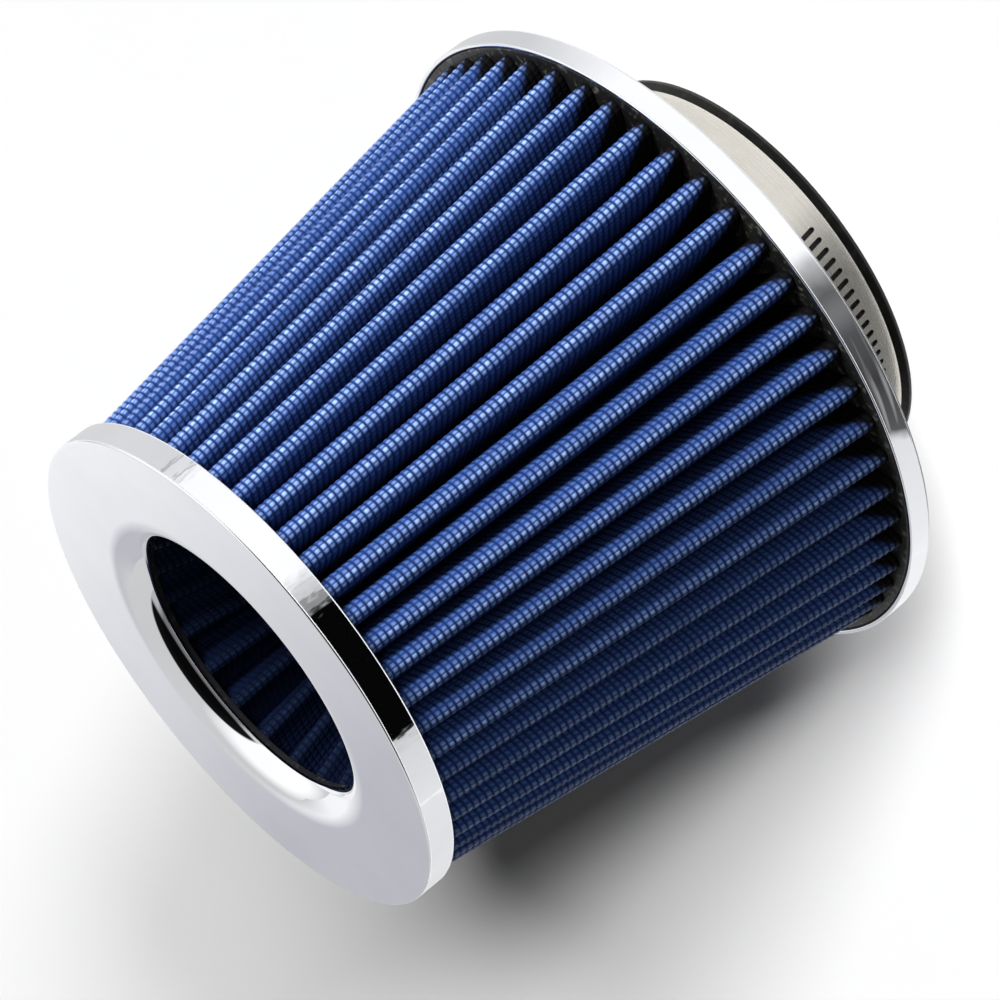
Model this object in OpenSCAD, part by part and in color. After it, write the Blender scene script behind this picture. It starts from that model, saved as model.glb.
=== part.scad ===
// Cone air filter: a pleated fabric cone between a chrome front cap and a moulded rubber base.
// A second, inverted cone of pleats hangs inside the cap's mouth, and a worm-drive clamp goes
// round the neck.
// The filter stands on its neck. Origin: centre of the neck's end face. +Z: up the axis to the cap.

/* [Overall] */
// Height from the end of the neck to the face of the front cap
height = 146; // [130:1:170]

/* [Front cap] */
// Outer diameter of the front cap
cap_d = 115.4; // [110:0.2:120]
// Height of the cap's skirt
skirt_h = 6.6; // [6:0.1:9]
// Radius of the bend between the face and the skirt
cap_bend_r = 0.9; // [0.6:0.1:2]
// Thickness of the pressed sheet
sheet_t = 0.8; // [0.6:0.1:1.1]
// Inner diameter of the mouth at its rear edge
mouth_d = 62.4; // [58:0.2:63.6]
// Width of the roll that leads from the face into the mouth
mouth_roll = 7.2; // [5:0.1:9]
// Depth of the mouth, from the face to its rear edge
mouth_depth = 6.1; // [4:0.1:7]
// How far the potting lies inside the edge of the skirt
potting_recess = 1.4; // [0.8:0.1:2]
// How far the potting reaches past the rear edge of the mouth
mouth_cover = 0.5; // [0.3:0.1:1.5]

/* [Base] */
// Outer diameter of the chrome ring round the base
base_d = 150; // [146:1:160]
// Height of the ring
ring_h = 5.8; // [5:0.1:9]
// Thickness of the ring
ring_t = 1; // [0.8:0.1:1.5]
// Width of the ring's flange under the base
flange_w = 4; // [2.5:0.5:8]
// How far the rubber lies below the ring's front edge
base_recess = 0.2; // [0.1:0.1:1]
// Rubber between the ring and the crests of the pleats
base_margin = 1.7; // [1:0.1:4]

/* [Neck] */
// Diameter of the bore that goes over the intake pipe
bore_d = 76; // [70:1:80]
// Wall of the neck
neck_wall = 8; // [6:0.5:9]
// Height of the neck below the base plate
neck_h = 22.7; // [20:0.1:32]
// Radius between the neck and the base plate
root_r = 4; // [2:0.5:6]
// Radius of the bell mouth at the inner end of the bore
bell_r = 5; // [2:0.5:5]
// Height of the bead that keeps the clamp on the neck
lip_h = 2.2; // [2:0.1:3]
// Height of the bead's straight side
lip_side = 0.9; // [0.6:0.1:1]
// How far the bead stands out from the neck
lip_proud = 1.9; // [1.4:0.1:2.2]
// Chamfers at the end of the neck
lip_chamfer = 0.5; // [0.2:0.1:0.6]

/* [Outer pleats] */
// Number of pleats round the filter
pleat_count = 52; // [40:1:56]
// Thickness of the filter fabric
media_t = 1.8; // [1.2:0.1:2]
// Inside radius of a fold
fold_r = 0.3; // [0.1:0.1:0.4]
// Depth of the pleats at the base
pleat_depth = 14.8; // [10:0.2:16]
// Depth of the pleats at the cap
pleat_depth_top = 12.7; // [11:0.1:13]
// Space between the crests and the cap's skirt
crest_gap = 1.2; // [0.6:0.1:3]

/* [Inner pleats] */
// Number of pleats in the inverted cone
inner_count = 22; // [14:1:22]
// Depth of the inverted cone below the face of the cap
inner_depth = 54; // [40:1:70]
// Diameter between the crests at its far end
inner_end_d = 27.8; // [27:0.2:36]
// Depth of its pleats at the far end
inner_pleat_end = 8; // [6:0.5:10]
// How far its crests stand back from the mouth
inner_lead = 0.2; // [0.1:0.1:1]
// Space between the two cages at the cap
cone_gap = 0.6; // [0.4:0.1:1.5]
// Thickness of the end pan's floor
pan_t = 3; // [2:0.5:5]
// Wall of the end pan's rim
pan_rim_t = 1.5; // [1:0.1:3]
// Height of the end pan's rim
pan_rim_h = 4; // [2:0.5:8]

/* [Support cages] */
// Thickness of the expanded sheet
cage_t = 0.8; // [0.5:0.1:1]
// Openings round the outer cage
cage_columns = 24; // [16:1:24]
// Rows of openings in the outer cage
cage_rows = 5; // [3:1:5]
// Openings round the inner cage
inner_columns = 20; // [16:1:22]
// Rows of openings in the inner cage
inner_rows = 4; // [2:1:4]
// Width of the strands between the openings
strand_w = 2; // [1:0.1:2.6]

/* [Clamp] */
// Width of the clamp's band
band_w = 12.7; // [10:0.1:14]
// Thickness of the band
band_t = 0.7; // [0.5:0.1:0.8]
// Distance between two slots along the band
slot_pitch = 2.55; // [2.4:0.05:3]
// Width of a slot
slot_w = 1.1; // [0.8:0.1:1.3]
// Length of a slot across the band
slot_l = 6.3; // [5:0.1:8]
// Slant of the slots, to match the thread
slot_slant = 8; // [4:1:12]
// Direction of the clamp's head, seen from above
head_angle = 135; // [100:1:170]
// Arc of plain band between the head and the first slot
plain_arc = 227.6; // [200:0.2:240]
// Length of the free end past the head
tail_l = 28; // [15:1:40]
// Length of the housing
housing_l = 18; // [15:0.5:22]
// Thickness of the housing's sheet
housing_t = 0.9; // [0.7:0.1:1]
// Diameter over the worm thread
worm_d = 8; // [7:0.1:9]
// Diameter of the screw's journals
journal_d = 5.8; // [4:0.1:6]
// Diameter of the collar under the head
collar_d = 9.2; // [8.6:0.1:10]
// Thickness of the collar
collar_t = 1; // [0.8:0.1:2]
// Width of the hexagon across its flats
hex_af = 7; // [6:0.1:8]
// Height of the hexagon
hex_h = 4.5; // [3:0.1:6]
// Width of the driver slot
driver_w = 1.2; // [0.8:0.1:1.6]
// Depth of the driver slot
driver_depth = 1.6; // [1:0.1:2.4]

/* [Fits] */
// Space between curved faces that lie on each other
skin = 0.1; // [0.05:0.05:0.2]
// Radial clearance of the screw in its housing
run_gap = 0.06; // [0.03:0.01:0.09]
// Play of the screw along its axis, at each side
end_play = 0.15; // [0.1:0.05:0.3]
// Space between the worm and the band
worm_gap = 0.3; // [0.2:0.05:0.5]
// How deep the housing's feet reach down the edges of the saddle
foot_seat = 0.3; // [0.2:0.05:0.6]

/* [Hidden] */
$fn = 96;
CREST_STEPS = 10;
FOLD_STEPS = 6;
ARC_STEPS = 9;
// A cut goes this far past the face that it opens
over = 1;
// Angle between the band's inner end and the ramp
band_gap = 2;
// Angle over which the band climbs onto the saddle
ramp_arc = 17;
BAND_STEPS = 150;

cap_r = cap_d / 2;
mouth_r = mouth_d / 2;
base_r = base_d / 2;
bore_r = bore_d / 2;
neck_r = bore_r + neck_wall;
lip_r = neck_r + lip_proud;
fold_w = 2 * (media_t + fold_r);

// Heights of the faces that the pieces stand on
base_z = neck_h + ring_h - base_recess;
outer_top_z = height - skirt_h + potting_recess;
inner_top_z = height - mouth_depth - mouth_cover;
inner_end_z = height - inner_depth;

// Outer pack: radii of its crests and of its inner folds, at both ends
crest_base_r = base_r - ring_t - base_margin;
crest_top_r = cap_r - sheet_t - crest_gap;
fold_base_r = crest_base_r - pleat_depth;
fold_top_r = crest_top_r - pleat_depth_top;
function outer_fold_r(z) =
    fold_base_r + (fold_top_r - fold_base_r) * (z - base_z) / (outer_top_z - base_z);

// Inner pack: its crests point to the axis, and its folds lie on the inner cage
inner_fold_w = 2 * media_t;
inner_crest_top_r = mouth_r + inner_lead;
inner_crest_end_r = inner_end_d / 2;
inner_fold_top_r = outer_fold_r(inner_top_z) - 2 * (skin + cage_t) - cone_gap;
inner_fold_end_r = inner_crest_end_r + inner_pleat_end;
function inner_fold_r(z) = inner_fold_end_r
    + (inner_fold_top_r - inner_fold_end_r) * (z - inner_end_z) / (inner_top_z - inner_end_z);
// The cage's flat strands are chords, so its corners lie a little further out
function inner_cage_r(z) = (inner_fold_r(z) + skin) / cos(90 / inner_columns);

// Clamp: the layers at its head, from the neck outwards
band_z = lip_h;
band_mid_z = band_z + band_w / 2;
band_in_r = neck_r + skin;
band_out_r = band_in_r + band_t;
foot_r = neck_r + lip_proud * housing_t / (lip_h - lip_side) + skin;
saddle_in_r = band_out_r + skin;
saddle_out_r = max(foot_r + foot_seat, saddle_in_r + foot_seat);
tail_in_r = saddle_out_r + skin;
tail_out_r = tail_in_r + band_t;
worm_r = worm_d / 2;
screw_x = tail_out_r + worm_gap + worm_r;
arch_r = worm_r + worm_gap;
roof_x = tail_out_r + worm_gap;
head_arc = asin(housing_l / 2 / tail_out_r);
ring_arc = 360 - ramp_arc - band_gap;
tail_arc = 2 * head_arc + tail_l / tail_out_r * 180 / PI;
slot_arc = slot_pitch / band_out_r * 180 / PI;
// Along the band, angles count from its inner end, which points away from the ramp
band_start = head_angle + head_arc - band_gap;
first_slot = band_start - head_angle + plain_arc;

// Points of an arc, from one angle to another, with its own radius along each axis
function arc(cx, cy, rx, ry, from, to, steps = ARC_STEPS) =
    [for (i = [0:steps]) let (a = from + (to - from) * i / steps) [cx + rx * cos(a), cy + ry * sin(a)]];

// One point of a rounded fold: radius of its tip, its width, its angle round the axis
function tip(r, w, a, s) =
    let (side = sign(w), c = r - w / 2, x = c + w / 2 * cos(s), y = side * w / 2 * sin(s))
    [x * cos(a) - y * sin(a), x * sin(a) + y * cos(a)];

// Outer face of a pleated ring: a round crest and a sharp valley for each pleat
function outer_face(n, crest, fold, w) =
    [for (i = [0:n - 1]) let (a = 360 / n * i, valley = a + 180 / n, bottom = fold + media_t)
        for (k = [0:CREST_STEPS + 1]) k > CREST_STEPS
            ? [bottom * cos(valley), bottom * sin(valley)]
            : tip(crest, w, a, -90 + 180 * k / CREST_STEPS)];

// Inner face of the same ring: a sharp crease under the crest and a round inner fold
function inner_face(n, crest, fold, w) =
    [for (i = [0:n - 1]) let (a = 360 / n * i, valley = a + 180 / n, crease = crest - media_t)
        for (k = [0:FOLD_STEPS + 1]) k == 0
            ? [crease * cos(a), crease * sin(a)]
            : tip(fold, -w, valley, -90 + 180 * (k - 1) / FOLD_STEPS)];

function raised(points, z) = [for (p = points) [p[0], p[1], z]];

// Triangles between a ring of points and the ring above it, facing out or in
function wall_faces(low, high, count, out) =
    [for (i = [0:count - 1], half = [0, 1]) let (j = (i + 1) % count)
        let (face = half == 0 ? [low + i, high + i, high + j] : [low + i, high + j, low + j])
        out ? face : [face[2], face[1], face[0]]];

function reversed(list) = [for (i = [len(list) - 1:-1:0]) list[i]];

// End faces of a pleated ring, one polygon for each leg of a pleat
function end_faces(n, outer, inner, up) =
    let (ko = CREST_STEPS + 2, ki = FOLD_STEPS + 2, oc = CREST_STEPS / 2, ic = 1 + FOLD_STEPS / 2)
    [for (i = [0:n - 1], leg = [0, 1])
        let (j = (i + 1) % n,
             down_leg = concat([for (k = [oc:ko - 1]) outer + i * ko + k],
                               [for (k = [ic:-1:0]) inner + i * ki + k]),
             up_leg = concat([outer + i * ko + ko - 1], [for (k = [0:oc]) outer + j * ko + k],
                             [inner + j * ki], [for (k = [ki - 1:-1:ic]) inner + i * ki + k]),
             face = leg == 0 ? down_leg : up_leg)
        up ? reversed(face) : face];

// A pleated sheet, standing between two heights, with its own radii at each
module pleated_ring(n, z0, crest0, fold0, z1, crest1, fold1, w) {
    outer0 = outer_face(n, crest0, fold0, w);
    inner0 = inner_face(n, crest0, fold0, w);
    outer1 = outer_face(n, crest1, fold1, w);
    inner1 = inner_face(n, crest1, fold1, w);
    co = len(outer0);
    ci = len(inner0);
    polyhedron(
        points = concat(raised(outer0, z0), raised(outer1, z1), raised(inner0, z0), raised(inner1, z1)),
        faces = concat(
            wall_faces(0, co, co, true),
            wall_faces(2 * co, 2 * co + ci, ci, false),
            end_faces(n, 0, 2 * co, false),
            end_faces(n, co, 2 * co + ci, true)),
        convexity = 10);
}

// Each four-sided face as two triangles
function halves(quads) = [for (q = quads, t = [[0, 1, 2], [0, 2, 3]]) [q[t[0]], q[t[1]], q[t[2]]]];

// Conical sheet of expanded metal: a lattice of diamonds, each with a smaller diamond opening.
// Level k of the lattice has one corner for each column, turned by half a step on odd levels.
module expanded_cone(columns, rows, z0, r0, z1, r1) {
    step = 360 / columns;
    rise = (z1 - z0) / (rows + 1);
    side = PI * min(r0, r1) / columns;
    open = 1 - strand_w / 2 * sqrt(side * side + rise * rise) / (side * rise);
    function spot(k, turn, t) = let (r = r0 + (r1 - r0) * k / (rows + 1) + t)
        [r * cos(turn * step), r * sin(turn * step), z0 + k * rise];
    function corner_turn(k, i) = i + (k % 2) / 2;
    function face_points(t) = concat(
        [for (k = [0:rows + 1], i = [0:columns - 1]) spot(k, corner_turn(k, i), t)],
        [for (k = [1:rows], i = [0:columns - 1], d = [[0, -1], [-1, 0], [0, 1], [1, 0]])
            spot(k + d[0] * open, corner_turn(k - 1, i) + d[1] * open / 2, t)],
        [for (k = [0, rows + 1], i = [0:columns - 1]) spot(k, corner_turn(k + 1, i) + k % 2, t)]);

    corners = (rows + 2) * columns;
    holes = 4 * rows * columns;
    total = corners + holes + 2 * columns;
    function corner(k, i) = k * columns + (i + columns) % columns;
    function hole(k, i, q) = corners + 4 * ((k - 1) * columns + i) + q % 4;
    function middle(end, i) = corners + holes + end * columns + i;
    function cell(k, i) = let (left = i - k % 2)
        [corner(k, left), corner(k - 1, i), corner(k, left + 1), corner(k + 1, i)];

    strands = halves([for (k = [1:rows], i = [0:columns - 1], q = [0:3]) let (c = cell(k, i))
        [c[q], hole(k, i, q), hole(k, i, q + 1), c[(q + 1) % 4]]]);
    top = rows + 1;
    edges = [for (i = [0:columns - 1], end = [0, 1], half = [0, 1])
        let (k = end * top, m = middle(end, i), near = corner(k, i + half),
             far = end == 0 ? corner(1, i) : corner(rows, i + top % 2))
        half == 0 ? [near, end == 0 ? far : m, end == 0 ? m : far]
                  : [m, end == 0 ? far : near, end == 0 ? near : far]];
    sheet = concat(strands, edges);
    hole_walls = [for (k = [1:rows], i = [0:columns - 1], q = [0:3])
        [hole(k, i, q + 1), hole(k, i, q), total + hole(k, i, q), total + hole(k, i, q + 1)]];
    rims = [for (i = [0:columns - 1], end = [0, 1], half = [0, 1])
        let (m = middle(end, i), near = corner(end * top, i + half), flip = (end + half) % 2,
             a = flip == 0 ? near : m, b = flip == 0 ? m : near)
        [a, b, total + b, total + a]];
    polyhedron(
        points = concat(face_points(cage_t), face_points(0)),
        faces = concat(sheet, [for (f = sheet) [total + f[2], total + f[1], total + f[0]]],
                       halves(hole_walls), halves(rims)),
        convexity = 10);
}

// Pressed cap: skirt, flat face and the roll that turns into the mouth
module front_cap() {
    roll_x = mouth_r + mouth_roll;
    roll_z = height - mouth_depth;
    inner_bend = max(cap_bend_r - sheet_t, 0.1);
    color("gainsboro")
        rotate_extrude()
            polygon(concat(
                [[cap_r, height - skirt_h]],
                arc(cap_r - cap_bend_r, height - cap_bend_r, cap_bend_r, cap_bend_r, 0, 90, 4),
                arc(roll_x, roll_z, mouth_roll, mouth_depth, 90, 180),
                arc(roll_x, roll_z, mouth_roll - sheet_t, mouth_depth - sheet_t, 180, 90),
                arc(cap_r - sheet_t - inner_bend, height - sheet_t - inner_bend,
                    inner_bend, inner_bend, 90, 0, 2),
                [[cap_r - sheet_t, height - skirt_h]]));
}

// Polyurethane that holds the ends of both packs and of both cages inside the cap
module front_potting() {
    roll_x = mouth_r + mouth_roll;
    roll_z = height - mouth_depth;
    roof = height - sheet_t;
    inner_bend = max(cap_bend_r - sheet_t, 0.1) + skin;
    rim_r = cap_r - sheet_t - skin;
    step_r = (inner_fold_r(inner_top_z) + outer_fold_r(outer_top_z)) / 2;
    wall_r = mouth_r + sheet_t + skin;
    color("dimgray")
        rotate_extrude()
            polygon(concat(
                [[rim_r, outer_top_z], [rim_r, roof - inner_bend], [rim_r - inner_bend, roof], [roll_x, roof]],
                arc(roll_x, roll_z, roll_x - wall_r, mouth_depth - sheet_t - skin, 90, 180),
                [[wall_r, inner_top_z], [step_r, inner_top_z], [step_r, outer_top_z]]));
}

// Pleated fabric of the outer cone
module outer_pleats() {
    color("royalblue")
        pleated_ring(pleat_count, base_z, crest_base_r, fold_base_r,
                     outer_top_z, crest_top_r, fold_top_r, fold_w);
}

// Pleated fabric of the inverted cone, with its crests towards the axis
module inner_pleats() {
    color("mediumblue")
        pleated_ring(inner_count, inner_end_z, inner_fold_end_r, inner_crest_end_r,
                     inner_top_z, inner_fold_top_r, inner_crest_top_r, inner_fold_w);
}

// Expanded steel cone that the outer pleats lean on
module outer_cage() {
    color("silver")
        expanded_cone(cage_columns, cage_rows, base_z, fold_base_r - skin - cage_t,
                      outer_top_z, fold_top_r - skin - cage_t);
}

// Expanded steel cone round the inverted pleats
module inner_cage() {
    color("silver")
        expanded_cone(inner_columns, inner_rows, inner_end_z, inner_cage_r(inner_end_z),
                      inner_top_z, inner_cage_r(inner_top_z));
}

// Moulded pan that closes the far end of the inverted cone
module end_pan() {
    rim_z = inner_end_z + pan_rim_h;
    low_r = inner_cage_r(inner_end_z) + cage_t + skin;
    high_r = inner_cage_r(rim_z) + cage_t + skin;
    color("darkslategray")
        rotate_extrude()
            polygon([[0, inner_end_z - pan_t], [low_r + pan_rim_t - pan_t / 2, inner_end_z - pan_t],
                     [low_r + pan_rim_t, inner_end_z - pan_t / 2], [high_r + pan_rim_t, rim_z],
                     [high_r, rim_z], [low_r, inner_end_z], [0, inner_end_z]]);
}

// Rubber base: the plate that the pleats are cast into, the neck and its bead
module base_moulding() {
    rim_r = base_r - ring_t - skin;
    flange_r = base_r - flange_w - skin;
    color([0.1, 0.1, 0.11])
        rotate_extrude()
            polygon(concat(
                [[bore_r + lip_chamfer, 0], [lip_r - lip_chamfer, 0], [lip_r, lip_chamfer],
                 [lip_r, lip_side], [neck_r, lip_h]],
                arc(neck_r + root_r, neck_h - root_r, root_r, root_r, 180, 90),
                [[flange_r, neck_h], [flange_r, neck_h + ring_t], [rim_r, neck_h + ring_t], [rim_r, base_z]],
                arc(bore_r + bell_r, base_z - bell_r, bell_r, bell_r, 90, 180),
                [[bore_r, lip_chamfer]]));
}

// Chrome ring round the base, with a flange under it
module base_ring() {
    edge = ring_t / 3;
    color("gainsboro")
        rotate_extrude()
            polygon(concat(
                [[base_r - flange_w, neck_h]],
                arc(base_r - ring_t, neck_h + ring_t, ring_t, ring_t, -90, 0, 4),
                [[base_r, neck_h + ring_h - edge], [base_r - edge, neck_h + ring_h],
                 [base_r - ring_t + edge, neck_h + ring_h], [base_r - ring_t, neck_h + ring_h - edge],
                 [base_r - ring_t, neck_h + ring_t], [base_r - flange_w, neck_h + ring_t]]));
}

// Inner radius of the band at an angle along it: the ring, then the ramp, then the free end
function band_r(along) =
    let (s = max(0, min(1, (along - ring_arc) / ramp_arc)))
    band_in_r + (tail_in_r - band_in_r) * (3 * s * s - 2 * s * s * s);

function band_side(t) = [for (i = [0:BAND_STEPS])
    let (along = (ring_arc + ramp_arc + tail_arc) * i / BAND_STEPS, r = band_r(along) + t)
    [r * cos(band_start - along), r * sin(band_start - along)]];

// One slanted slot across the band, at an angle along it
module band_slot(along) {
    r = band_r(along);
    reach = (saddle_out_r - band_out_r) / 2;
    rotate([0, 0, band_start - along])
        translate([r - reach, 0, band_mid_z])
            rotate([slot_slant, 0, 0])
                translate([0, -slot_w / 2, -slot_l / 2])
                    cube([band_t + 2 * reach, slot_w, slot_l]);
}

// Slotted band: once round the neck, up the ramp and out through the housing as the free end
module clamp_band() {
    slots = floor((ring_arc + ramp_arc + tail_arc - first_slot) / slot_arc) - 1;
    color("lightgray")
        difference() {
            translate([0, 0, band_z])
                linear_extrude(height = band_w)
                    polygon(concat(band_side(0), reversed(band_side(band_t))));
            for (i = [0:slots])
                band_slot(first_slot + i * slot_arc);
        }
}

// Curved plate between the two layers of band, under the housing
module clamp_saddle() {
    color("darkgray")
        rotate([0, 0, head_angle - head_arc])
            translate([0, 0, band_z])
                rotate_extrude(angle = 2 * head_arc)
                    translate([saddle_in_r, 0])
                        square([saddle_out_r - saddle_in_r, band_w]);
}

// Section of the housing's outside: an arch over the worm on shoulders as wide as the band
module housing_section() {
    arch_out = arch_r + housing_t;
    translate([screw_x, band_mid_z])
        circle(r = arch_out);
    translate([roof_x, band_mid_z - arch_out])
        square([screw_x - roof_x, 2 * arch_out]);
    translate([bore_r, band_z - housing_t])
        square([roof_x + housing_t - bore_r, band_w + 2 * housing_t]);
}

// Housing: the arch, its two end walls with the screw's bearings, and feet beside the saddle
module clamp_housing() {
    color("silver")
        rotate([0, 0, head_angle])
            difference() {
                rotate([90, 0, 0])
                    linear_extrude(height = housing_l, center = true)
                        housing_section();
                rotate([90, 0, 0])
                    linear_extrude(height = housing_l - 2 * housing_t, center = true)
                        union() {
                            translate([screw_x, band_mid_z])
                                circle(r = arch_r);
                            translate([roof_x - over, band_mid_z - arch_r])
                                square([screw_x - roof_x + over, 2 * arch_r]);
                        }
                translate([bore_r - over, -housing_l / 2 - over, band_z])
                    cube([roof_x - bore_r + over, housing_l + 2 * over, band_w]);
                cylinder(r = foot_r, h = band_z + band_w + 2 * over);
                translate([screw_x, 0, band_mid_z])
                    rotate([90, 0, 0])
                        cylinder(d = journal_d + 2 * run_gap, h = housing_l + 2 * over, center = true);
            }
}

// Worm screw: journals, the worm between the end walls, the collar and the slotted hexagon
module clamp_screw() {
    worm_l = housing_l - 2 * housing_t - 2 * end_play;
    collar_y = housing_l / 2 + end_play;
    head_y = collar_y + collar_t;
    color("lightslategray")
        rotate([0, 0, head_angle])
            translate([screw_x, 0, band_mid_z])
                rotate([90, 0, 0])
                    difference() {
                        union() {
                            cylinder(r = worm_r, h = worm_l, center = true);
                            translate([0, 0, -housing_l / 2 - collar_t])
                                cylinder(d = journal_d, h = housing_l + 2 * collar_t);
                            translate([0, 0, collar_y])
                                cylinder(d = collar_d, h = collar_t);
                            translate([0, 0, collar_y])
                                cylinder(r = hex_af / sqrt(3), h = collar_t + hex_h, $fn = 6);
                        }
                        translate([-hex_af, -driver_w / 2, head_y + hex_h - driver_depth])
                            cube([2 * hex_af, driver_w, driver_depth + over]);
                    }
}

front_cap();
front_potting();
outer_pleats();
inner_pleats();
outer_cage();
inner_cage();
end_pan();
base_moulding();
base_ring();
clamp_band();
clamp_saddle();
clamp_housing();
clamp_screw();
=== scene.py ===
# %% [markdown]
# # A cone air filter, dressed for its picture
# The filter stands on its neck. The imported model gives every piece its place and size, in metres
# from the middle of the neck's end. This script keeps those sizes and adds what the eye looks for:
# woven cloth, chrome that mirrors a studio, cast rubber and a slotted clamp.
# We load the model first.

# %% Load the imported model
import math

import bmesh
import bpy
import numpy as np
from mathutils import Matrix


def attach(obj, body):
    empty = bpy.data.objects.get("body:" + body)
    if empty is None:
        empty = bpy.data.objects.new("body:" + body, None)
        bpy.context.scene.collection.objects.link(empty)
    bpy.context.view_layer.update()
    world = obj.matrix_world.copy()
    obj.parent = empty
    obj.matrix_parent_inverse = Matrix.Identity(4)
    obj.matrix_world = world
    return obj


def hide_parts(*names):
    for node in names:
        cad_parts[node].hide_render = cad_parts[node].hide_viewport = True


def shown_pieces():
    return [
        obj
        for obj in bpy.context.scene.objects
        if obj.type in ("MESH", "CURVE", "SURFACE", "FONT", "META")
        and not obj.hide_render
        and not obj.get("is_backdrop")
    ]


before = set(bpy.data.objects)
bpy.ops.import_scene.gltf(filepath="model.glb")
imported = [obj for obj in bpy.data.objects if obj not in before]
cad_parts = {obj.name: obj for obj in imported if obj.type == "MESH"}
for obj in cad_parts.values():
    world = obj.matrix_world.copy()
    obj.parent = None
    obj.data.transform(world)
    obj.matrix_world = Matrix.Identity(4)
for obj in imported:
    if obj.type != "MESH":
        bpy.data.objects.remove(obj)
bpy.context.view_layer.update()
print("solids:", sorted(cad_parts))

# %% [markdown]
# ## The camera
# The photograph was taken with a long lens, about 22 degrees above the filter's side, and turned
# so that the cap lies at the lower left. A camera is a place and three directions: right, up and
# back. Writing them as the columns of one matrix is the surest way to set a turned camera, because
# no order of angles has to be guessed. The lamps are aimed with the same function later.

# %% Place the camera
MM = 0.001
CAMERA_PLACE = (-5.387, -910.98, 439.78)
CAMERA_RIGHT = (-0.62185, -0.28953, -0.72765)
CAMERA_UP = (0.78314, -0.22990, -0.57779)
CAMERA_BACK = (0.0, -0.92915, 0.36970)
LENS, SENSOR_WIDTH = 171.17, 36
FAR_LIMIT = 20


def aim(piece, right, up, back, place_mm):
    for row in range(3):
        piece.matrix_world[row][0] = right[row]
        piece.matrix_world[row][1] = up[row]
        piece.matrix_world[row][2] = back[row]
        piece.matrix_world[row][3] = place_mm[row] * MM


camera_data = bpy.data.cameras.new("Long lens")
camera_data.sensor_width = SENSOR_WIDTH
camera_data.lens = LENS
camera_data.clip_end = FAR_LIMIT
camera = bpy.data.objects.new("Long lens", camera_data)
bpy.context.scene.collection.objects.link(camera)
aim(camera, CAMERA_RIGHT, CAMERA_UP, CAMERA_BACK, CAMERA_PLACE)
bpy.context.scene.camera = camera
bpy.context.scene.view_settings.view_transform = "Standard"
print("camera:", [round(v, 3) for v in camera.matrix_world.translation])

# %% [markdown]
# ## Helpers for meshes
# Nearly every piece is either turned on a lathe or laid out as a grid of points. So we need one
# function that makes a mesh object from points and faces, and one that places it: it rides on a
# body, hides the solid it stands for, and gets the material it is given. Flat maps of the surface
# are kept in millimetres, so a weave or a brushed line has its real size.

# %% Make a mesh object and place it on its body
DEG = math.pi / 180
JOIN_WITHIN = 0.0005


def new_mesh(name, points, faces, flat_map=None, sharp_above=40):
    mesh = bpy.data.meshes.new(name)
    mesh.from_pydata([tuple(p) for p in np.asarray(points) * MM], [], faces)
    if flat_map is not None:
        layer = mesh.uv_layers.new(name="Millimetres")
        layer.data.foreach_set("uv", np.asarray(flat_map, dtype=np.float32).ravel())
    mesh.shade_smooth()
    mesh.set_sharp_from_angle(angle=sharp_above * DEG)
    piece = bpy.data.objects.new(name, mesh)
    bpy.context.scene.collection.objects.link(piece)
    return piece


def turn_faces_out(mesh):
    work = bmesh.new()
    work.from_mesh(mesh)
    bmesh.ops.remove_doubles(work, verts=work.verts, dist=JOIN_WITHIN * MM)
    bmesh.ops.recalc_face_normals(work, faces=work.faces)
    work.to_mesh(mesh)
    work.free()


def give_material(piece, material):
    piece.data.materials.clear()
    piece.data.materials.append(material)


def place(piece, node, body, material):
    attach(piece, body)
    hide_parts(node)
    give_material(piece, material)
    print(f"{piece.name}: {len(piece.data.polygons)} faces, rides on {body}")


print("mesh helpers are ready")

# %% [markdown]
# A turned piece is a closed section swung round the axis. We write each section as a few corners,
# each with the radius that a press or a mould would leave there. The function below swaps a corner
# for a small arc. Light catches such an arc as a thin bright line, and without it an edge looks
# cut from paper. Long straight runs get a point near both ends, or the smooth shading of the arc
# would bleed into the flat.

# %% Round the corners of a section
MOST_OF_SIDE = 0.49
HOLD_MARGIN = 0.12


def rounded(corners, steps=5):
    section = []
    for i, (r, z, radius) in enumerate(corners):
        here = np.array([r, z], float)
        if radius <= 0:
            section.append(here)
            continue
        before = np.array(corners[i - 1][:2], float) - here
        after = np.array(corners[(i + 1) % len(corners)][:2], float) - here
        reach_before, reach_after = np.linalg.norm(before), np.linalg.norm(after)
        before, after = before / reach_before, after / reach_after
        half = math.acos(np.clip(before @ after, -1, 1)) / 2
        pull = min(radius / math.tan(half), MOST_OF_SIDE * reach_before, MOST_OF_SIDE * reach_after)
        start, end = here + before * pull, here + after * pull
        centre = here + (before + after) / np.linalg.norm(before + after) * pull / math.cos(half)
        for t in np.linspace(0, 1, steps):
            point = start * (1 - t) + end * t - centre
            section.append(centre + point / np.linalg.norm(point) * np.linalg.norm(start - centre))
    return section


def arc(cx, cz, rx, rz, start, end, steps):
    return [np.array([cx + rx * math.cos(a * DEG), cz + rz * math.sin(a * DEG)])
            for a in np.linspace(start, end, steps)]


def hold_flats(section):
    held = []
    for i, here in enumerate(section):
        after = section[(i + 1) % len(section)]
        length = np.linalg.norm(after - here)
        held.append(here)
        if length > 4 * HOLD_MARGIN:
            way = (after - here) / length
            held += [here + way * HOLD_MARGIN, after - way * HOLD_MARGIN]
    return held


print("sections can be rounded; straight runs are held", HOLD_MARGIN, "mm from their ends")

# %% [markdown]
# Swinging the section is a loop over turns and points. The flat map runs round the piece in one
# direction and along the section in the other, both in millimetres.

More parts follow.
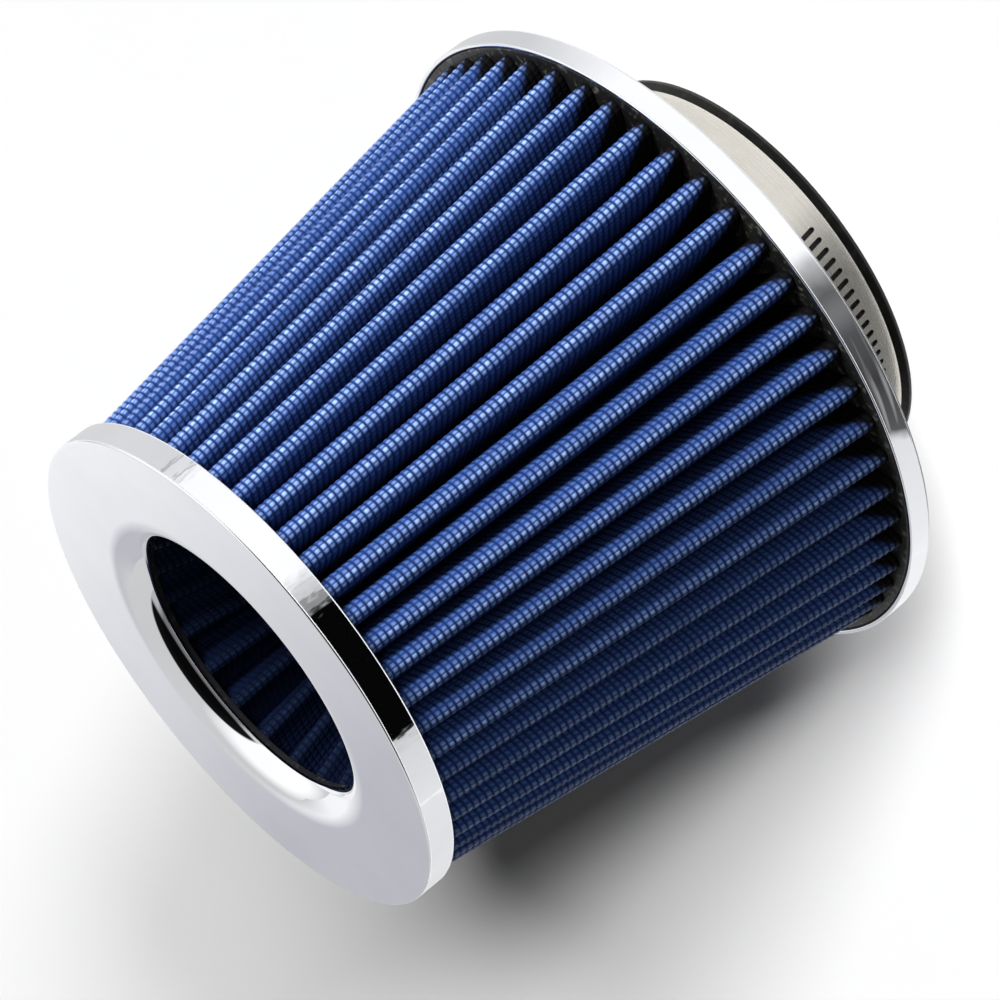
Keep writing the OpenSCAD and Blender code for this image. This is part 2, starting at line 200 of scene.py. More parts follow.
# %% Swing a section round the axis
def turned(name, section, around=256):
    section = np.array(hold_flats(section))
    count = len(section)
    angles = np.arange(around) * 2 * math.pi / around
    points = np.stack([np.outer(np.cos(angles), section[:, 0]),
                       np.outer(np.sin(angles), section[:, 0]),
                       np.tile(section[:, 1], (around, 1))], -1).reshape(-1, 3)
    steps = np.linalg.norm(np.roll(section, -1, 0) - section, axis=1)
    along = np.concatenate([[0], np.cumsum(steps)])
    step_round = 2 * math.pi / around * section[:, 0].mean()
    faces, flat_map = [], []
    for a in range(around):
        b = (a + 1) % around
        u0, u1 = a * step_round, (a + 1) * step_round
        for k in range(count):
            m = (k + 1) % count
            faces.append((a * count + k, b * count + k, b * count + m, a * count + m))
            flat_map += [(u0, along[k]), (u1, along[k]), (u1, along[k + 1]), (u0, along[k + 1])]
    piece = new_mesh(name, points, faces, flat_map)
    turn_faces_out(piece.data)
    return piece


print("the lathe is ready")

# %% [markdown]
# ## Helpers for materials
# A material is a small graph of nodes. The first function adds a node and links what feeds it, and
# the others name the kinds of node that only reckon: with numbers, with directions, with colours.

# %% Add nodes with little code
def add_node(tree, kind, inputs=None, **settings):
    node = tree.nodes.new(kind)
    for key, value in settings.items():
        setattr(node, key, value)
    for key, value in (inputs or {}).items():
        socket = node.inputs[key]
        if isinstance(value, bpy.types.NodeSocket):
            tree.links.new(value, socket)
        else:
            socket.default_value = value
    return node


def math_node(tree, operation, *values):
    inputs = dict(enumerate(values))
    return add_node(tree, "ShaderNodeMath", inputs, operation=operation).outputs[0]


def vector_math(tree, operation, *values, output="Vector"):
    inputs = dict(enumerate(values))
    return add_node(tree, "ShaderNodeVectorMath", inputs, operation=operation).outputs[output]


def blend(tree, factor, low, high):
    inputs = {0: factor, 6: low, 7: high}
    return add_node(tree, "ShaderNodeMix", inputs, data_type="RGBA").outputs[2]


def spread(tree, value, low, high, new_low, new_high):
    inputs = {0: value, 1: low, 2: high, 3: new_low, 4: new_high}
    return add_node(tree, "ShaderNodeMapRange", inputs).outputs[0]


print("reckoning nodes are ready")

# %% [markdown]
# The next ones name the nodes that read a place on the surface or put something on it. Object
# coordinates are in metres and hold still when the object turns, so a grain made from them stays
# on the piece. The flat map is in millimetres and follows the sheet.

# %% Name the nodes that read the surface
def noise(tree, vector, scale, detail=2.0, roughness=0.5):
    inputs = {"Vector": vector, "Scale": scale, "Detail": detail, "Roughness": roughness}
    return add_node(tree, "ShaderNodeTexNoise", inputs).outputs[0]


def bump(tree, height, depth_mm, strength):
    inputs = {"Height": height, "Distance": depth_mm * MM, "Strength": strength}
    return add_node(tree, "ShaderNodeBump", inputs).outputs[0]


def object_place(tree):
    return add_node(tree, "ShaderNodeTexCoord").outputs["Object"]


def flat_place(tree):
    return add_node(tree, "ShaderNodeUVMap", uv_map="Millimetres").outputs[0]


def split_up(tree, vector):
    return add_node(tree, "ShaderNodeSeparateXYZ", {0: vector}).outputs


print("surface nodes are ready")

# %% [markdown]
# An effect that several materials use is a group with named inputs and outputs. One function
# makes such a group, one places it in a material, and one starts a material with its main shader.

# %% Make groups and materials
def new_group(name, inputs, outputs):
    group = bpy.data.node_groups.new(name, "ShaderNodeTree")
    for label, kind, value in inputs:
        socket = group.interface.new_socket(label, in_out="INPUT", socket_type="NodeSocket" + kind)
        if value is not None:
            socket.default_value = value
    for label, kind in outputs:
        group.interface.new_socket(label, in_out="OUTPUT", socket_type="NodeSocket" + kind)
    source = group.nodes.new("NodeGroupInput")
    result = group.nodes.new("NodeGroupOutput")
    return group, source.outputs, result.inputs


def use_group(tree, group, **inputs):
    return add_node(tree, "ShaderNodeGroup", inputs, node_tree=group).outputs


def new_material(name, **settings):
    material = bpy.data.materials.new(name)
    material.use_nodes = True
    tree = material.node_tree
    shader = tree.nodes["Principled BSDF"]
    for key, value in settings.items():
        shader.inputs[key.replace("_", " ")].default_value = value
    return material, tree, shader


def grey(value):
    return (value, value, value, 1)


print("group and material helpers are ready")

# %% [markdown]
# ## The weave
# The filter cloth is a stiff gauze: thick ribs run across each pleat, 1.56 mm apart, and finer
# threads cross them 1.2 mm apart, so each crest shows rows of small beads. The ribs are in the
# mesh. The group below adds the threads: it reads the flat map in millimetres, and puts out the
# height of the beads, a mask that is 1 on top of a bead and 0 between two ribs, and a grey value
# that differs from bead to bead. A group is right here because both pleat packs use the same cloth.

# %% Make the weave group
RIB_PITCH, THREAD_PITCH = 1.5578, 1.2
RIB_FULLNESS, THREAD_FULLNESS = 0.7, 0.6
BETWEEN_BEADS = 0.45
RIB_TOP, THREAD_TOP = (0.25, 0.92), (0.1, 0.85)
THREAD_GAP_SHOWS = 0.12


def wave(tree, turns):
    half_turns = math_node(tree, "MULTIPLY", turns, math.pi)
    return math_node(tree, "ABSOLUTE", math_node(tree, "SINE", half_turns))


weave, weave_in, weave_out = new_group(
    "Gauze weave",
    [("Across", "Float", None), ("Along", "Float", None),
     ("Rib pitch", "Float", RIB_PITCH), ("Thread pitch", "Float", THREAD_PITCH)],
    [("Height", "Float"), ("Top", "Float"), ("Bead grey", "Float")])
row_at = math_node(weave, "DIVIDE", weave_in["Along"], weave_in["Rib pitch"])
thread_at = math_node(weave, "DIVIDE", weave_in["Across"], weave_in["Thread pitch"])
row_wave, thread_wave = wave(weave, row_at), wave(weave, thread_at)
rib_height = math_node(weave, "POWER", row_wave, RIB_FULLNESS)
thread_height = math_node(weave, "POWER", thread_wave, THREAD_FULLNESS)
thread_height = spread(weave, thread_height, 0, 1, BETWEEN_BEADS, 1)
rib_top = spread(weave, row_wave, *RIB_TOP, 0, 1)
thread_top = spread(weave, thread_wave, *THREAD_TOP, THREAD_GAP_SHOWS, 1)
bead_cell = add_node(weave, "ShaderNodeCombineXYZ", {
    0: math_node(weave, "FLOOR", thread_at), 1: math_node(weave, "FLOOR", row_at)})
bead_random = add_node(weave, "ShaderNodeTexWhiteNoise", {"Vector": bead_cell.outputs[0]})
weave.links.new(math_node(weave, "MULTIPLY", rib_height, thread_height), weave_out["Height"])
weave.links.new(math_node(weave, "MULTIPLY", rib_top, thread_top), weave_out["Top"])
weave.links.new(bead_random.outputs["Value"], weave_out["Bead grey"])
print("weave group:", len(weave.nodes), "nodes")

# %% [markdown]
# ## Fine wear and brushed lines
# Even new chrome isn't a perfect mirror: plating ripples a little and hands leave faint smudges.
# One group gives those smudges as a mask. Another gives the fine lines that rolling and brushing
# leave in steel: noise, stretched along the way the sheet ran through the rollers.

# %% Make the smudge group and the brushed group
SMUDGE_EDGE = (0.42, 0.72)
ALONG_ROLLERS, ACROSS_ROLLERS = 0.06, 9.0

smudge, smudge_in, smudge_out = new_group(
    "Smudge", [("Size", "Float", 40.0), ("Amount", "Float", 0.5)], [("Mask", "Float")])
smudge_noise = noise(smudge, object_place(smudge), smudge_in["Size"], detail=5.0, roughness=0.6)
smudge_mask = spread(smudge, smudge_noise, *SMUDGE_EDGE, 0, 1)
smudge.links.new(math_node(smudge, "MULTIPLY", smudge_mask, smudge_in["Amount"]),
                 smudge_out["Mask"])

brushed, brushed_in, brushed_out = new_group(
    "Brushed lines",
    [("Vector", "Vector", None), ("Along", "Float", ALONG_ROLLERS),
     ("Across", "Float", ACROSS_ROLLERS)],
    [("Lines", "Float")])
brushed_split = split_up(brushed, brushed_in["Vector"])
brushed_place = add_node(brushed, "ShaderNodeCombineXYZ", {
    0: math_node(brushed, "MULTIPLY", brushed_split[0], brushed_in["Along"]),
    1: math_node(brushed, "MULTIPLY", brushed_split[1], brushed_in["Across"])})
brushed_noise = noise(brushed, brushed_place.outputs[0], 1.0, detail=4.0, roughness=0.65)
brushed.links.new(brushed_noise, brushed_out["Lines"])
print("groups:", [g.name for g in bpy.data.node_groups])

# %% [markdown]
# ## The blue cloth
# The cloth is royal blue. On the photograph the beads along the middle of each crest shine almost
# white, and the flanks darken to navy, because little light gets down between them. So the colour
# is built in steps, with the light and shade painted in: painted shade in the grooves between the
# beads, blue beads, a painted highlight of pale beads within about a millimetre of the crest's
# middle, and painted navy shade in the valley. The pleats stand in black resin, and the last few
# millimetres above the base are painted black, furthest in the folds, as painted shade at the foot
# of the pleats. Gauze is matt, so its shine is low.

# %% Make the cloth material
# Each set holds the bead blue, a pale blue that is a painted highlight on the crests, and a dark blue
# that is painted shade in the grooves between the beads.
OUTER_BLUES_LIGHT_AND_SHADE = {"bead": (0.043, 0.092, 0.275, 1), "pale": (0.27, 0.41, 0.76, 1),
               "thread": (0.011, 0.025, 0.105, 1)}
# The inside set is the same cloth made near black: painted shade inside the mouth.
INNER_SHADED_BLUES = {"bead": (0.0026, 0.005, 0.016, 1), "pale": (0.006, 0.011, 0.031, 1),
               "thread": (0.002, 0.004, 0.012, 1)}
# Painted shade: navy down in the valleys, and black near the base, deepest in the folds.
VALLEY_SHADE_BLUE = (0.006, 0.010, 0.034, 1)
BASE_SHADE_BLACK = (0.004, 0.004, 0.005, 1)
CREST_MIDDLE = THREAD_PITCH / 2
CREST_HIGHLIGHT_EDGE, VALLEY_SHADE_EDGE, BASE_SHADE_EDGE = (0.45, 1.5), (2.6, 8.5), (0.4, 3.4)
PALE_HIGHLIGHT_SHARE, CLOTH_ROUGHNESS = (0.45, 1.0), (0.25, 0.45)
CLOTH_SHINE, BEAD_DEPTH = 0.04, 0.28


def make_cloth(name, bead, pale, thread):
    material, tree, shader = new_material(name, Specular_IOR_Level=CLOTH_SHINE)
    across, along = split_up(tree, flat_place(tree))[:2]
    cloth = use_group(tree, weave, Across=across, Along=along)
    depth = math_node(tree, "ABSOLUTE", math_node(tree, "SUBTRACT", across, CREST_MIDDLE))
    # Painted highlight: pale beads along the middle of each crest.
    crest = spread(tree, depth, *CREST_HIGHLIGHT_EDGE, 1, 0)
    crest = math_node(tree, "MULTIPLY", crest, spread(tree, cloth["Bead grey"], 0, 1, *PALE_HIGHLIGHT_SHARE))
    top = blend(tree, crest, bead, pale)
    # Painted shade: the grooves between the beads are darker than the bead tops.
    colour = blend(tree, cloth["Top"], thread, top)
    # Painted shade in the valleys, growing with the depth from the crest.
    colour = blend(tree, spread(tree, depth, *VALLEY_SHADE_EDGE, 0, 1), colour, VALLEY_SHADE_BLUE)
    # Painted shade at the foot of the pleats, reaching furthest up in the folds.
    above_base_shade = math_node(tree, "SUBTRACT", along, depth)
    colour = blend(tree, spread(tree, above_base_shade, *BASE_SHADE_EDGE, 1, 0), colour, BASE_SHADE_BLACK)
    tree.links.new(colour, shader.inputs["Base Color"])
    roughness = spread(tree, cloth["Bead grey"], 0, 1, *CLOTH_ROUGHNESS)
    tree.links.new(roughness, shader.inputs["Roughness"])
    tree.links.new(bump(tree, cloth["Height"], BEAD_DEPTH, strength=0.9), shader.inputs["Normal"])
    return material


blue_cloth = make_cloth("Blue gauze", **OUTER_BLUES_LIGHT_AND_SHADE)
shaded_inner_cloth = make_cloth("Blue gauze, painted shade inside", **INNER_SHADED_BLUES)
print("cloth materials:", blue_cloth.name, "and", shaded_inner_cloth.name)

# %% [markdown]
# ## Chrome and steel
# Chrome is a metal with hardly any roughness, so its look is mostly what it mirrors. The band,
# the cages and the clamp are stainless steel: brushed lines turn their mirror into a soft glow.
# The housing keeps its solid, which has no flat map, so its lines follow the object's own axes.

# %% Make the metals
CHROME_CLEAN, CHROME_SMUDGED = (0.90, 0.91, 0.93, 1), (0.84, 0.85, 0.875, 1)
CHROME_ROUGHNESS = (0.008, 0.022)
RIPPLES_PER_METRE, RIPPLE_DEPTH = 60.0, 0.02
NOISE_BODY = (0.3, 0.7)
BRUSH_DEPTH = 0.01


def make_chrome(name):
    material, tree, shader = new_material(name, Metallic=1.0)
    mask = use_group(tree, smudge, Size=26.0, Amount=1.0)["Mask"]
    tree.links.new(blend(tree, mask, CHROME_CLEAN, CHROME_SMUDGED), shader.inputs["Base Color"])
    tree.links.new(spread(tree, mask, 0, 1, *CHROME_ROUGHNESS), shader.inputs["Roughness"])
    ripple = noise(tree, object_place(tree), RIPPLES_PER_METRE, detail=1.0)
    tree.links.new(bump(tree, ripple, RIPPLE_DEPTH, strength=0.25), shader.inputs["Normal"])
    return material


def make_steel(name, colour, dark, smooth, rough, has_flat_map=True):
    material, tree, shader = new_material(name, Metallic=1.0)
    if has_flat_map:
        where = flat_place(tree)
    else:
        where = vector_math(tree, "MULTIPLY", object_place(tree), (1 / MM, 1 / MM, 1 / MM))
    lines = use_group(tree, brushed, Vector=where)["Lines"]
    mask = use_group(tree, smudge, Size=90.0, Amount=0.5)["Mask"]
    tint = blend(tree, spread(tree, lines, *NOISE_BODY, 0, 1), dark, colour)
    tree.links.new(blend(tree, mask, tint, dark), shader.inputs["Base Color"])
    tree.links.new(spread(tree, lines, *NOISE_BODY, rough, smooth), shader.inputs["Roughness"])
    tree.links.new(bump(tree, lines, BRUSH_DEPTH, strength=0.5), shader.inputs["Normal"])
    return material


cap_chrome = make_chrome("Cap chrome")
ring_chrome = make_chrome("Ring chrome")
band_steel = make_steel("Band steel", (0.90, 0.87, 0.80, 1), (0.70, 0.675, 0.61, 1), 0.22, 0.32)
cage_steel = make_steel("Cage steel", (0.66, 0.67, 0.68, 1), (0.42, 0.42, 0.43, 1), 0.3, 0.45)
housing_steel = make_steel("Housing steel", grey(0.8), grey(0.6), 0.2, 0.34, has_flat_map=False)
screw_steel = make_steel("Screw steel", (0.74, 0.75, 0.77, 1), (0.5, 0.5, 0.52, 1), 0.18, 0.34)
metals = (cap_chrome, ring_chrome, band_steel, cage_steel, housing_steel, screw_steel)
print("metals:", [metal.name for metal in metals])

# %% [markdown]
# ## Rubber and cast resin
# Rubber and the cast resin are dark, with a fine grain from the mould and a dull shine. Pale
# specks lie on the plate round the pleats, and only a few on the neck below.

# %% Make the rubbers
SPECK_EDGE = (0.56, 0.74)
SPECK_SIZE = 2.5
FEW_SPECKS = 0.12
GRAIN_DEPTH = 0.12
SPECKS_FROM = 22


def make_rubber(name, colour, pale, speck, grain_mm, specks_above_mm=-1, shine=0.5,
                roughness=(0.4, 0.6)):
    material, tree, shader = new_material(name, Specular_IOR_Level=shine)
    where = object_place(tree)
    grain = noise(tree, where, 1 / (grain_mm * MM), detail=3.0, roughness=0.6)
    cloud = use_group(tree, smudge, Size=35.0, Amount=1.0)["Mask"]
    specks = noise(tree, where, 1 / (SPECK_SIZE * grain_mm * MM), roughness=0.7)
    specks = spread(tree, specks, *SPECK_EDGE, 0, 1)
    height = split_up(tree, where)[2]
    specks_here = spread(tree, height, specks_above_mm * MM, (specks_above_mm + 1) * MM, FEW_SPECKS, 1)
    specks = math_node(tree, "MULTIPLY", specks, specks_here)
    dusted = blend(tree, specks, blend(tree, cloud, colour, pale), speck)
    tree.links.new(dusted, shader.inputs["Base Color"])
    tree.links.new(spread(tree, grain, *NOISE_BODY, *roughness), shader.inputs["Roughness"])
    tree.links.new(bump(tree, grain, GRAIN_DEPTH, strength=0.6), shader.inputs["Normal"])
    return material


base_rubber = make_rubber("Base rubber", grey(0.005), (0.012, 0.013, 0.011, 1),
                          (0.10, 0.10, 0.085, 1), 0.8, SPECKS_FROM, roughness=(0.36, 0.6))
pan_rubber = make_rubber("Pan rubber", (0.016, 0.017, 0.019, 1), (0.03, 0.031, 0.034, 1),
                         grey(0.05), 0.7)
cast_resin = make_rubber("Cast resin", (0.007, 0.007, 0.008, 1), (0.013, 0.013, 0.015, 1),
                         grey(0.03), 1.2, shine=0.15)
print("rubbers:", base_rubber.name, "and", pan_rubber.name, "with", cast_resin.name)

# %% [markdown]
# ## The pleats
# The cloth is folded into 52 pleats that stand on the base and lean in to the cap. Each pleat is
# a round crest, two straight flanks and a sharp valley outside, and on the inner side a sharp
# crease and a round fold. We draw half of that section from the sharp corner to the round tip, and
# mirror it. A negative width turns the tip inwards, for the inner side.

# %% Draw the section of one pleat
FLANK_POINT = 0.45
TIP_ANGLES = (-90, -60, -30, 0)
COLUMNS = 2 * (len(TIP_ANGLES) + 2) - 2


def pleat_section(tip, width, sharp, half_turn):
    middle = tip - math.copysign(width / 2, width)
    side = abs(width) / 2
    round_tip = [(middle + math.copysign(side, width) * math.cos(a * DEG), side * math.sin(a * DEG))
                 for a in TIP_ANGLES]
    corner = (sharp * math.cos(half_turn), -sharp * math.sin(half_turn))
    on_flank = tuple(np.array(corner) * (1 - FLANK_POINT) + np.array(round_tip[0]) * FLANK_POINT)
    half = np.array([corner, on_flank] + round_tip)
    return np.concatenate([half, half[::-1][1:] * (1, -1)])


print("columns across one pleat:", COLUMNS)

# %% [markdown]
# Then we lay that section out once for each pleat, ring by ring up the cone, and push every second
# ring out a little. That makes the ribs of the cloth real, so light falls on them as it should. A
# pack pleated by machine is still not perfect, so each crest strays a little, always in the same
# way because the random numbers have a fixed seed. The threads start at a different place on each
# pleat, or the beads would line up all round.

# %% Lay one face of a pack out, ring by ring
THREAD_STRAY = 0.3


def pleat_face(count, rings, z, tip, sharp, width, first, rib_height, stray, seed):
    """Points of one face of the pack: rings by pleats by columns, and its flat map."""
    draw = np.random.default_rng(seed)
    shift = draw.uniform(-stray, stray, count)
    sway = draw.uniform(-stray, stray, count)
    thread_shift = CREST_MIDDLE + draw.uniform(-THREAD_STRAY, THREAD_STRAY, count)
    half_turn = math.pi / count
    grid = np.zeros((rings + 1, count, COLUMNS, 3))
    across = np.zeros((rings + 1, count, COLUMNS + 1))
    along = np.linspace(0, math.hypot(z[1] - z[0], tip[1] - tip[0]), rings + 1)
    for k in range(rings + 1):
        t = k / rings
        section = pleat_section(tip[0] + (tip[1] - tip[0]) * t, width,
                                sharp[0] + (sharp[1] - sharp[0]) * t, half_turn)
        lengths = np.linalg.norm(np.diff(section, axis=0), axis=1)
        flat = np.concatenate([[0], np.cumsum(lengths)])
        flat -= flat[-1] / 2
        way = np.gradient(section, axis=0)
        out = np.stack([way[:, 1], -way[:, 0]], -1)
        out /= np.linalg.norm(out, axis=1)[:, None]
        lift = np.full(len(section), rib_height * (0.5 if k % 2 else -0.5))
        lift[[0, -1]] = 0
        if 0 < k < rings:
            section = section + out * math.copysign(1, width) * lift[:, None]
        fade = np.sin(np.linspace(0, math.pi, len(section)))
        for i in range(count):
            stray_here = shift[i] + sway[i] * math.sin(math.pi * t)
            angle = 2 * math.pi * i / count + first * DEG + stray_here * DEG * fade
            x = section[:, 0] * np.cos(angle) - section[:, 1] * np.sin(angle)
            y = section[:, 0] * np.sin(angle) + section[:, 1] * np.cos(angle)
            grid[k, i, :, 0] = x[:-1]
            grid[k, i, :, 1] = y[:-1]
            grid[k, i, :, 2] = z[0] + (z[1] - z[0]) * t
            across[k, i] = flat + thread_shift[i]
    return grid, across, along


print("a face of the pack can be laid out")

# %% [markdown]
# Four neighbours in that grid make a face. The outer and the inner side of the cloth are two such
# grids, and a row of faces at the base and at the cap joins them, so the pack is a closed solid.

# %% Join the points with faces
END_SPOT = (0.6, 0.6)
PLEAT_SHARP = 75
OUTSIDE_SEED, INSIDE_SEED = 7, 8
CLOTH_T = 1.8


def pleat_faces(rings, count, first_point, across, along, outward):
    ring_size = count * COLUMNS
    faces, flat_map = [], []
    for k in range(rings):
        low, high = first_point + k * ring_size, first_point + (k + 1) * ring_size
        for i in range(count):
            for j in range(COLUMNS):
                a = i * COLUMNS + j
                b = (a + 1) % ring_size
                quad = [low + a, low + b, high + b, high + a]
                where = [(across[k, i, j], along[k]), (across[k, i, j + 1], along[k]),
                         (across[k + 1, i, j + 1], along[k + 1]), (across[k + 1, i, j], along[k + 1])]
                faces.append(quad if outward else quad[::-1])
                flat_map += where if outward else where[::-1]
    return faces, flat_map


def pleated_pack(name, count, first, z, crest, fold, width, rings_out, rings_in, ribs, stray):
    valley = [f + CLOTH_T for f in fold]
    crease = [c - CLOTH_T for c in crest]
    half_turn = 180 / count
    outside = pleat_face(count, rings_out, z, crest, valley, width, first, ribs[0], stray,
                         OUTSIDE_SEED)
    inside = pleat_face(count, rings_in, z, fold, crease, -width, first + half_turn, ribs[1],
                        stray, INSIDE_SEED)
    points = [outside[0].reshape(-1, 3), inside[0].reshape(-1, 3)]
    start = len(points[0])
    faces, flat_map = pleat_faces(rings_out, count, 0, outside[1], outside[2], True)
    more, more_map = pleat_faces(rings_in, count, start, inside[1], inside[2], False)
    ring_size = count * COLUMNS
    ends = []
    for out_ring, in_ring, up in ((0, start, False),
                                  (rings_out * ring_size, start + rings_in * ring_size, True)):
        for a in range(ring_size):
            b = (a + 1) % ring_size
            c, d = (a - COLUMNS // 2) % ring_size, (b - COLUMNS // 2) % ring_size
            quad = [out_ring + a, out_ring + b, in_ring + d, in_ring + c]
            ends.append(quad if up else quad[::-1])
    end_map = [END_SPOT] * (4 * len(ends))
    return new_mesh(name, np.concatenate(points), faces + more + ends,
                    flat_map + more_map + end_map, PLEAT_SHARP)


print("the cloth is", CLOTH_T, "mm thick")

# %% [markdown]
# The outer pack leans on a cage, so only its outside is seen, and only that side gets ribs: 146
# rings are 73 ribs. The inverted cone inside the mouth is the same cloth, folded into 22 wider
# pleats. It hangs from the cap and narrows towards its far end, so the engine draws air through
# it too. There the inner side is the one that is seen, so that side gets the ribs.

# %% Build the two packs
BASE_Z, TOP_Z = 28.3, 140.8
RIB_HEIGHT = 0.11

outer_pleats = pleated_pack(
    "pleated_cloth", count=52, first=-88.5, z=(BASE_Z, TOP_Z), crest=(72.3, 55.68),
    fold=(57.5, 42.98), width=4.2, rings_out=146, rings_in=12, ribs=(RIB_HEIGHT, 0), stray=0.3)
place(outer_pleats, "outer_pleats", "filter", blue_cloth)
# The inside gets the near-black copy of the cloth: painted shade inside the mouth.
inner_pleats = pleated_pack(
    "pleated_cloth_inside", count=22, first=8.0, z=(92.0, 139.4), crest=(21.9, 40.8),
    fold=(13.9, 31.4), width=3.6, rings_out=12, rings_in=66, ribs=(0, RIB_HEIGHT / 3), stray=0.5)
place(inner_pleats, "inner_pleats", "filter", shaded_inner_cloth)

# %% [markdown]
# ## The pressed cap and the chrome ring
# The cap is one sheet of steel: a skirt, a tight bend, a flat face and a wide roll into the mouth.
# It's chrome, so its section decides its look: each arc mirrors a whole sweep of the studio. We
# write the sheet's outer side and then its inner side. The rear edge of the skirt is broken with a
# small radius, which shows as the thin bright line beside the cloth.

# %% Turn the cap
CAP_R, CAP_Z, SKIRT_Z = 57.7, 146.0, 139.4
SHEET_T = 0.8
HALF_SHEET = SHEET_T / 2
BEND_R, INNER_BEND_R = 0.45, 0.12
EDGE_R, EDGE_BREAK = 0.3, 0.15
ROLL_R, ROLL_Z = 38.4, 139.9
ROLL_WIDE, ROLL_DEEP, ROLL_END = 7.2, 6.1, 167

cap_section = (
    arc(CAP_R - EDGE_R, SKIRT_Z + EDGE_R, EDGE_R, EDGE_R, -90, 0, 5)
    + arc(CAP_R - BEND_R, CAP_Z - BEND_R, BEND_R, BEND_R, 0, 90, 9)
    + arc(ROLL_R, ROLL_Z, ROLL_WIDE, ROLL_DEEP, 90, ROLL_END, 28)
    + arc(ROLL_R + (ROLL_WIDE - HALF_SHEET) * math.cos(ROLL_END * DEG),
          ROLL_Z + (ROLL_DEEP - HALF_SHEET) * math.sin(ROLL_END * DEG),
          HALF_SHEET, HALF_SHEET, ROLL_END, ROLL_END + 180, 7)[1:-1]
    + arc(ROLL_R, ROLL_Z, ROLL_WIDE - SHEET_T, ROLL_DEEP - SHEET_T, ROLL_END, 90, 20)
    + arc(CAP_R - SHEET_T - INNER_BEND_R, CAP_Z - SHEET_T - INNER_BEND_R, INNER_BEND_R,
          INNER_BEND_R, 90, 0, 3)
    + [np.array([CAP_R - SHEET_T, SKIRT_Z + EDGE_R]),
       np.array([CAP_R - SHEET_T + EDGE_BREAK, SKIRT_Z])])
place(turned("pressed_cap", cap_section), "front_cap", "filter", cap_chrome)

# %% [markdown]
# The ring is a flat strip rolled into an angle: a flange under the plate and a wall round it. Its
# lower corner has the widest radius, because that is where the strip was bent.

# %% Turn the ring
PLATE_Z = 22.7
RING_R, RING_IN, RING_TOP, RING_T = 75.0, 71.0, 28.5, 1.0
WALL_IN, FLANGE_TOP = RING_R - RING_T, PLATE_Z + RING_T

ring_section = rounded([
    (RING_IN, PLATE_Z, 0.2), (RING_R, PLATE_Z, 1.0), (RING_R, RING_TOP, 0.35),
    (WALL_IN, RING_TOP, 0.35), (WALL_IN, FLANGE_TOP, 0.2), (RING_IN, FLANGE_TOP, 0.2)])
place(turned("chrome_ring", ring_section), "base_ring", "filter", ring_chrome)

# %% [markdown]
# ## Rubber base and end pan
# The base is cast in one shot: a plate that holds the ends of the pleats, a neck, and a bead that
# keeps the clamp from sliding off. Mould corners are never sharp, so every corner has a radius.
# The bore opens in a bell towards the inside, and air runs down it without a step. The pan closes
# the far end of the inverted cone. The resin under the cap keeps its solid.

# %% Turn the rubber pieces
BORE_R, NECK_R, BEAD_R = 38.0, 46.0, 47.9
BEAD_EDGE_Z, BEAD_TOP_Z = 0.9, 2.2
RING_GAP = 0.1
PAN_Z, PAN_FLOOR_Z, PAN_RIM_Z = 89.0, 92.0, 96.0
PAN_R, PAN_RIM_R, PAN_T = 24.47, 26.06, 1.5

base_section = rounded([
    (BORE_R, 0.0, 0.5), (BEAD_R, 0.0, 0.5), (BEAD_R, BEAD_EDGE_Z, 0.3), (NECK_R, BEAD_TOP_Z, 0.3),
    (NECK_R, PLATE_Z, 4.0), (RING_IN - RING_GAP, PLATE_Z, 0.2), (RING_IN - RING_GAP, FLANGE_TOP, 0.1),
    (WALL_IN - RING_GAP, FLANGE_TOP, 0.1), (WALL_IN - RING_GAP, BASE_Z, 0.4), (BORE_R, BASE_Z, 5.0)],
    steps=7)
place(turned("cast_base", base_section), "base_moulding", "filter", base_rubber)

pan_section = rounded([
    (0.0, PAN_Z, 0), (PAN_R, PAN_Z, 1.2), (PAN_RIM_R, PAN_RIM_Z, 0.4),
    (PAN_RIM_R - PAN_T, PAN_RIM_Z, 0.4), (PAN_R - PAN_T, PAN_FLOOR_Z, 0.4), (0.0, PAN_FLOOR_Z, 0)])
place(turned("end_pan_cast", pan_section, 128), "end_pan", "filter", pan_rubber)
give_material(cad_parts["front_potting"], cast_resin)

# %% [markdown]
# ## Expanded metal cages
# The pleats lean on two cones of expanded metal: a sheet is slit and pulled until the slits open
# into diamonds. We lay the open sheet out first and give it its thickness afterwards. This helper
# does the second step: it copies the sheet inwards and puts a wall along every edge that has one
# face only, so the walls of the holes come by themselves.

# %% Give an open sheet its thickness
def thick_sheet(name, outside, inside, faces, flat, sharp_above):
    count = len(outside)
    edges = dict.fromkeys((a, b) for face in faces for a, b in zip(face, face[1:] + face[:1]))
    walls = [[b, a, a + count, b + count] for a, b in edges if (b, a) not in edges]
    all_faces = faces + [[v + count for v in face[::-1]] for face in faces] + walls
    flat_map = [flat[v % count] for face in all_faces for v in face]
    piece = new_mesh(name, np.concatenate([outside, inside]), all_faces, flat_map, sharp_above)
    turn_faces_out(piece.data)
    return piece


print("open sheets can get their thickness")

# %% [markdown]
# A lattice is easiest to lay out as cells. Each cell has four corners and a smaller diamond hole,
# and four strips join them. Neighbours share their corners, so a spot that exists is used again.
# Pulling the metal tips its strands a little, so the hole's corners stand proud up and down.

# %% Lay out a cage
STRAND_TWIST = 0.18


